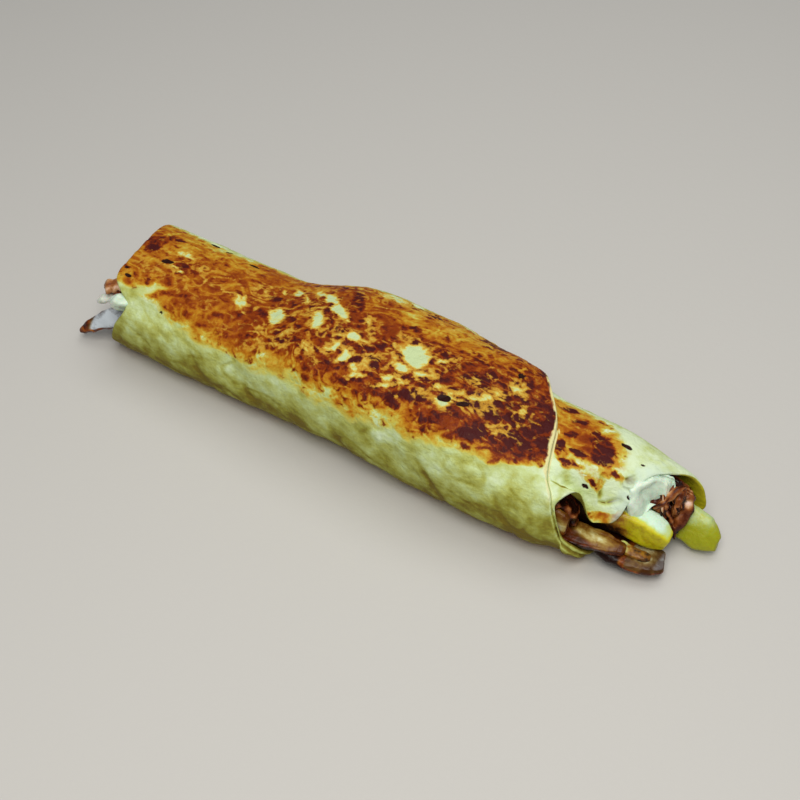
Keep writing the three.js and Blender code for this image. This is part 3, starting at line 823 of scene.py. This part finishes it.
def olive_bread(roll, creases, wrinkles):
    """How far plain bread is painted from mint to its darker green end: a little as its own colour, and
    mostly as painted shade low down, on the sides, inside, in creases and wrinkles and towards the open end;
    lighter on the rim, as painted light.
    """
    low = smoothstep(roll.height, *LOW_HEIGHT)
    # Painted shade: darker low down, on the sides, on the inside surfaces, in creases and wrinkles and along
    # the sides towards the open end; painted light: lighter on the rim
    olive = 0.2 + 0.56 * low + 0.12 * roll.side + 0.4 * (1 - roll.shown) - 0.2 * roll.rim
    olive -= 0.12 * roll.inner * roll.shown
    olive += (0.6 + 0.5 * roll.inner) * creases + 0.2 * roll.side * wrinkles
    olive += 0.12 * roll.side * smoothstep(roll.along, *SIDE_SHADE_ALONG)
    return olive


def beside_sauce(points):
    """How close each point is to the sauce at the open end: 1 beside it and 0 a few millimetres off."""
    dollop = points_of(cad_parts["garlic_sauce_near"].data)
    tree = KDTree(len(dollop))
    for index, place in enumerate(dollop):
        tree.insert(place, index)
    tree.balance()
    away = np.array([tree.find(place)[2] for place in points])
    return smoothstep(away + 1.2 * rough(points, 2.5, 15), *SMEAR)


def make_bread():
    mesh = cad_copy("flatbread")
    more_rows(mesh)
    mesh = subdivided(mesh, 0, 2)
    finer_tongue(mesh)
    roll = Roll(mesh)
    toast, dark, pale, char = griddle_marks(roll)
    creases = crease_depth(roll.along, roll.across)
    wrinkles = fine_wrinkles(roll.points)
    relief = bread_relief(roll, toast, pale, char, creases, wrinkles)
    moved = roll.points + roll.normals * relief[:, None] + draped(roll)
    moved[:, 2] = np.maximum(moved[:, 2], 0)
    move_points(mesh, moved)
    # Painted light: the inner wall beyond the open end's filling lies in shade, and is painted bright yellow
    inside = smoothstep(roll.along, *LIT_INSIDE_ALONG) * smoothstep(roll.across, *LIT_INSIDE_ACROSS)
    paint(
        mesh, toast=toast, dark=dark, pale=pale, char=char,
        olive=olive_bread(roll, creases, wrinkles), cut=roll.cut,
        smear=SMEAR_STRENGTH * beside_sauce(roll.points),
        inside=LIT_INSIDE_STRENGTH * (1 - roll.shown) * inside,
    )
    show(mesh, "griddled_flatbread", bread_finish(), "flatbread")


# Filling

def strand(path, width, thick, draw, sides=9, steps=36):
    """The rings of a torn strand of meat along a smooth path, and a tone for each of their points."""
    stops = np.array(path, float)
    shares = np.linspace(0, 1, steps + 1)
    stop_shares = np.linspace(0, 1, len(stops))
    curve = np.array([np.interp(shares, stop_shares, values) for values in stops.T]).T
    for _ in range(8):
        curve[1:-1] = (curve[:-2] + 2 * curve[1:-1] + curve[2:]) / 4
    ahead = unit(np.gradient(curve, axis=0))
    aside = unit(np.cross(ahead, (0.25, 0.1, 1.0)))
    above = np.cross(aside, ahead)
    angles = np.linspace(0, 2 * math.pi, sides, endpoint=False)
    grooves = 1 + 0.2 * draw.standard_normal(sides).clip(-1.4, 1.4)
    waves = 1 + 0.16 * np.sin(draw.uniform(0, 6, 3)[:, None] + np.outer((6, 13, 23), shares)).sum(0)
    ends = np.sin(np.clip(np.minimum(shares + 0.05, 1.03 - shares) * 8, 0, 1) * math.pi / 2)
    torn = draw.uniform(-0.3, 0.9, sides) * min(width, 1.6)
    rings = []
    for i, share in enumerate(shares):
        size = ends[i] * waves[i] / 2
        turned = angles + 1.4 * share
        ring = width * np.outer(np.cos(turned) * grooves, aside[i])
        ring += thick * np.outer(np.sin(turned) * grooves, above[i])
        tear = np.outer(torn * smoothstep(share, 0.86, 1.0), ahead[i])
        rings.append(curve[i] + size * ring + tear)
    streaks = 0.2 * draw.standard_normal(sides) + 0.1 * np.sin(9 * shares + draw.uniform(0, 6))[:, None]
    return np.array(rings), streaks


def add_rings(work, rings, tones):
    """Adds a closed skin over the rings to a bmesh, with a tone for each of its points."""
    layer = work.verts.layers.float["strand"]
    rows = [[work.verts.new(p * MM) for p in ring] for ring in rings]
    for row, row_tones in zip(rows, tones):
        for vertex, tone in zip(row, row_tones):
            vertex[layer] = tone
    for row, after in zip(rows, rows[1:]):
        for j in range(len(row)):
            work.faces.new((row[j - 1], row[j], after[j], after[j - 1]))
    work.faces.new(reversed(rows[0]))
    work.faces.new(rows[-1])


def shaded(rings):
    """How much lighter a strand's points are at a pale pink spot, and darker low down in the open end, as
    painted shade.
    """
    x, y, z = np.moveaxis(rings, 2, 0)
    pale_spot = smoothstep(np.linalg.norm(rings - np.add(PALE_SPOT, FAR_END), axis=2), PALE_SPOT_RADIUS, PALE_SPOT_CORE)
    dark = smoothstep(z, *SHADE_HEIGHT) * smoothstep(x, *SHADE_X) * smoothstep(y, *SHADE_Y)
    return 0.7 * pale_spot - 0.3 * dark


def filling_core():
    """The solid of the filling, with a rough and fibrous surface."""
    remesh = ("REMESH", {"mode": "VOXEL", "voxel_size": CORE_VOXEL * MM})
    mesh = with_modifiers(cad_copy("meat_filling"), remesh)
    points = points_of(mesh)
    fibres = rough(points * (0.35, 1, 1), 2.4, 31)
    lumps = rough(points, 6, 32)
    relief = 0.7 * fibres + 0.6 * lumps - 0.1
    move_points(mesh, points + normals_of(mesh) * relief[:, None])
    in_near_mouth = smoothstep(points[:, 1], *NEAR_MOUTH_Y) * smoothstep(points[:, 0], *NEAR_MOUTH_X)
    # Painted shade: the tone follows the relief, so the recesses are darker
    paint(mesh, strand=0.2 + 0.55 * fibres + 0.3 * lumps - 0.05 * in_near_mouth)
    return mesh


def fray(work, path, width, thick, count, tone, draw):
    """Adds the strands that one shred of meat frays into, side by side along its path."""
    share = 2.6 / (count + 1)
    reach = 0.5 * (1 - share)
    for _ in range(count):
        angle = draw.uniform(0, 2 * math.pi)
        far = reach * math.sqrt(draw.uniform())
        aside = (draw.uniform(-1.2, 0.4), far * width * math.cos(angle), far * thick * math.sin(angle))
        bend = draw.uniform(-0.6, 0.6, (len(path), 3))
        own_path = np.add(path, FAR_END) + aside + bend
        rings, streaks = strand(own_path, width * share, thick * share * 1.2, draw)
        add_rings(work, rings, tone + draw.uniform(-0.3, 0.2) + streaks + shaded(rings))


def make_filling():
    mesh = filling_core()
    draw = np.random.default_rng(STRAND_SEED)
    with edited(mesh) as work:
        for shred in SHREDS:
            fray(work, *shred, draw)
        for path, width, thick, tone in FOLDS:
            rings, streaks = strand(np.add(path, FAR_END), width, thick, draw)
            add_rings(work, rings, tone + streaks + shaded(rings))
        bmesh.ops.recalc_face_normals(work, faces=work.faces)
    show(mesh, "shredded_filling", meat_finish(), "meat_filling")


# Fries, slices, sauce and onion

def fry_looks(node, points, normals):
    """How white each point of a fry is, how browned, and how dull green. The white top is partly the cut
    face and partly painted light; the front fry's root and lower near face are painted near-black as shadow;
    the side fry is painted lighter at its top and foot and darker between, as light and shade.
    """
    x, y, z = points.T
    # Painted light: whiter where a face turns up, which is partly the cut top
    up = smoothstep(normals[:, 2], 0.2, 0.85)
    browned = np.full(len(points), 0.1)
    olive = np.zeros(len(points))
    if node == "fry_front":
        near_face = smoothstep(y, *FRY_NEAR_FACE)
        crusted = smoothstep(x, *FRY_CRUST)
        up *= (1 - near_face) * (1 - 0.7 * smoothstep(normals[:, 0], 0.4, 0.8))
        # Painted shadow: over its crust, the near face is painted near-black at its root under the tongue of
        # bread and darker low down
        browned += near_face * (0.55 * crusted + 0.6 * smoothstep(x, *FRY_SHADOWED_ROOT))
        browned += 0.4 * near_face * crusted * smoothstep(z, *FRY_SHADOWED_LOWER_PART)
    elif node == "fry_side":
        # Painted light and shade: lighter at the top and foot, darker olive in a band between
        up = 0.1 + 0.55 * smoothstep(z, *SIDE_FRY_LIT_TOP) + 0.15 * smoothstep(z, *SIDE_FRY_LIT_FOOT)
        olive += 0.42 + 0.6 * hump(z, *SIDE_FRY_SHADED_BAND)
    else:
        up = 0.3 + 0.3 * up
        browned += 0.36 + 0.4 * smoothstep(x, *SLIVER_TIP)
    return {"up": up, "browned": browned, "olive": olive}


def make_fries():
    material = fry_finish()
    for seed, node in enumerate(FRIES):
        mesh, points, normals = smooth_copy(node, 1, 2)
        relief = 0.2 + 0.4 * rough(points, 7, 40 + seed) + 0.08 * rough(points, 1.6, 50 + seed)
        moved = points + normals * relief[:, None]
        if node == "fry_side":
            height = points[:, 2]
            lean = SIDE_FRY_LEAN * smoothstep(height, *SIDE_FRY_OUT) - smoothstep(height, *SIDE_FRY_IN)
            moved[:, 0] += smoothstep(normals[:, 0], *SIDE_FRY_END) * lean
        move_points(mesh, moved)
        paint(mesh, **fry_looks(node, points, normals))
        show(mesh, node.replace("fry", "potato"), material, node)


def slice_looks(node, points, normals, own, axes, edge):
    """How browned and shaded, how dull and how white, and how pale each point of a slice is: browned edges
    and far tip, darker undersides, shade painted on the middle slice's lower band, near-black shadow painted
    on the lower slice's root, and a white highlight painted on the lower slice's tip.
    """
    along = points[:, 0]
    under = smoothstep(normals[:, 2], 0.45, -0.2)
    far_tip = smoothstep(along, *FAR_TIP)
    crust_and_shade = 0.6 * edge * smoothstep(normals[:, 2], 0.6, 0.1) + 0.6 * under + far_tip
    grey_and_highlight = np.zeros(len(points))
    if node == "meat_slice_middle":
        # Painted shade: the middle slice's lower band is darker
        crust_and_shade += 0.7 * smoothstep(own @ axes[1] + 0.3 * own @ axes[0], 0.5, -2.5)
    elif node == "meat_slice_lower":
        # Painted shadow: the lower slice's root is near-black
        crust_and_shade += 2.0 * smoothstep(along, *LOWER_SHADOWED_ROOT)
        from_end = along.max() - along
        # Dull grey all over, and a white highlight painted on the tip's upward faces
        grey_and_highlight += 0.4 + 0.7 * smoothstep(normals[:, 2], 0.3, 0.8) * smoothstep(from_end, *LOWER_TIP_HIGHLIGHT)
    elif node == "meat_slice_far":
        crust_and_shade -= 0.5 * edge
        grey_and_highlight += 1.4 * (1 - far_tip)
    pale_along, pale_length = SLICES[node]
    away = np.hypot((along - pale_along) / pale_length, own[:, 1] / np.abs(own[:, 1]).max())
    return {"light": smoothstep(away, 0.95, 0.1) - 0.5, "crust_and_shade": np.clip(crust_and_shade, 0, 2.4), "grey_and_highlight": grey_and_highlight}


def make_slices():
    material = slice_finish()
    for seed, node in enumerate(SLICES):
        mesh, points, normals = smooth_copy(node, 1, 2)
        own, axes = long_axes(points)
        edge = 1 - smoothstep(np.abs(normals @ axes[:, 2]), 0.3, 0.8)
        fibres = rough(own * (0.4, 1, 1), 1.5, 60 + seed)
        relief = 0.4 + 0.12 * fibres + 0.35 * edge * rough(points, 2.6, 70 + seed)
        relief += 0.4 * rough(points, 6, 80 + seed, 2)
        if node == "meat_slice_middle":
            upper_edge = edge * smoothstep(normals[:, 2], -0.1, 0.5)
            relief += MIDDLE_TEAR * upper_edge * smoothstep(points[:, 0], *MIDDLE_TORN)
        move_points(mesh, points + normals * relief[:, None])
        paint(mesh, **slice_looks(node, points, normals, own, axes, edge))
        show(mesh, node.replace("meat", "roast"), material, node)


def scooped(points, normals):
    """How far the sauce's open face sinks in the middle, and which way."""
    own, axes = long_axes(points)
    face = axes[:, 2] * np.sign(axes[0, 2])
    away = np.hypot(*(own[:, :2] / np.abs(own[:, :2]).max(0)).T)
    middle = smoothstep(away, 0.95, 0.15)
    depth = SAUCE_SCOOP * np.maximum(middle, 0.8 * smoothstep(points[:, 1], *SAUCE_SCOOP_Y))
    return np.outer(depth * smoothstep(normals @ face, 0, 0.6), face)


def near_sauce_moves(points, normals):
    """How the near sauce departs from its solid: an uneven border, a scooped face and a run onto the fry."""
    border = smoothstep(np.abs(normals @ long_axes(points)[1][:, 2]), 0.8, 0.3)
    uneven = SAUCE_BORDER * border * rough(points, 5, 99)
    runs = smoothstep(points[:, 1], *SAUCE_RUN_Y) * smoothstep(normals[:, 2], 0.3, -0.7)
    moves = normals * uneven[:, None] - scooped(points, normals) + SAUCE_OOZE
    moves[:, 2] -= SAUCE_RUN * runs
    moves[:, 0] += SAUCE_RUN_AHEAD * SAUCE_RUN * runs
    return moves


def make_wet_pieces():
    sauce = wet_finish("garlic_sauce", (204, 224, 202), (224, 240, 220))
    onion = wet_finish("white_onion", (206, 214, 196), (230, 234, 222))
    for seed, node in enumerate(SAUCES + ["onion_strip_far"]):
        splits = (0, 3) if node in SAUCES else (1, 2)
        mesh, points, normals = smooth_copy(node, *splits)
        relief = 0.3 + 0.45 * rough(points, 4.5, 90 + seed, 2) + 0.2 * rough(points, 2, 95 + seed, 2)
        moved = points + normals * relief[:, None]
        if node == "garlic_sauce_near":
            moved += near_sauce_moves(points, normals)
        elif node == "garlic_sauce_far":
            moved += smoothstep(normals[:, 2], 0.0, 0.8)[:, None] * FAR_SAUCE_DRAWN
        move_points(mesh, moved)
        if node in SAUCES:
            show(mesh, node.replace("garlic_sauce", "sauce_dollop"), sauce, node)
        else:
            show(mesh, "onion_sliver", onion, node)


# Stage

def make_floor():
    mesh = bpy.data.meshes.new("floor")
    corners = [(-1, -1), (1, -1), (1, 1), (-1, 1)]
    mesh.from_pydata([(FLOOR_HALF * x, FLOOR_HALF * y, 0) for x, y in corners], [], [(0, 1, 2, 3)])
    finish = Finish("pale_floor", **{"Base Color": srgb(196, 194, 189), "Roughness": 0.7})
    finish.bumps(finish.grain(3.0, 2), 0.05)
    mesh.materials.append(finish.material)
    floor = bpy.data.objects.new("floor", mesh)
    floor.location.z = -FLOOR_DROP * MM
    bpy.context.scene.collection.objects.link(floor)


def place_facing(thing, azimuth, elevation, distance, target):
    """Puts a camera or a light in the scene at that distance in metres from the target, looking at it."""
    turn, rise = math.radians(azimuth), math.radians(elevation)
    back = Vector((math.sin(turn) * math.cos(rise), -math.cos(turn) * math.cos(rise), math.sin(rise)))
    thing.location = target + distance * back
    thing.rotation_euler = (math.pi / 2 - rise, 0, turn)
    bpy.context.scene.collection.objects.link(thing)


def make_stage():
    scene = bpy.context.scene
    camera = bpy.data.objects.new("camera", bpy.data.cameras.new("camera"))
    camera.data.lens = LENS
    camera.data.sensor_width = SENSOR
    place_facing(camera, AZIMUTH, ELEVATION, DISTANCE * MM, Vector(TARGET) * MM)
    scene.camera = camera
    make_floor()
    for name, (azimuth, elevation, distance, size, power, colour) in LIGHTS.items():
        light = bpy.data.lights.new(name, "AREA")
        light.size = size
        light.energy = power
        light.color = colour
        lamp = bpy.data.objects.new(name, light)
        place_facing(lamp, azimuth, elevation, distance, Vector(LIGHT_TARGET))
    scene.world = bpy.data.worlds.new("soft_room")
    scene.world.use_nodes = True
    sky = scene.world.node_tree.nodes["Background"]
    sky.inputs["Color"].default_value = SKY_COLOUR
    sky.inputs["Strength"].default_value = SKY_STRENGTH
    scene.view_settings.view_transform = "Standard"


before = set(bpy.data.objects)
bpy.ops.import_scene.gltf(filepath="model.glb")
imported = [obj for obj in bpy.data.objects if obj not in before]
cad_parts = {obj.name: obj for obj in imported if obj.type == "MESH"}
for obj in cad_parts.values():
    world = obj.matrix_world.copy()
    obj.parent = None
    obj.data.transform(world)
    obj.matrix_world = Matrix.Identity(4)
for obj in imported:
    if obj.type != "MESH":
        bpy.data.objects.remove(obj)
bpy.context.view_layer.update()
make_stage()
make_bread()
make_filling()
make_fries()
make_slices()
make_wet_pieces()
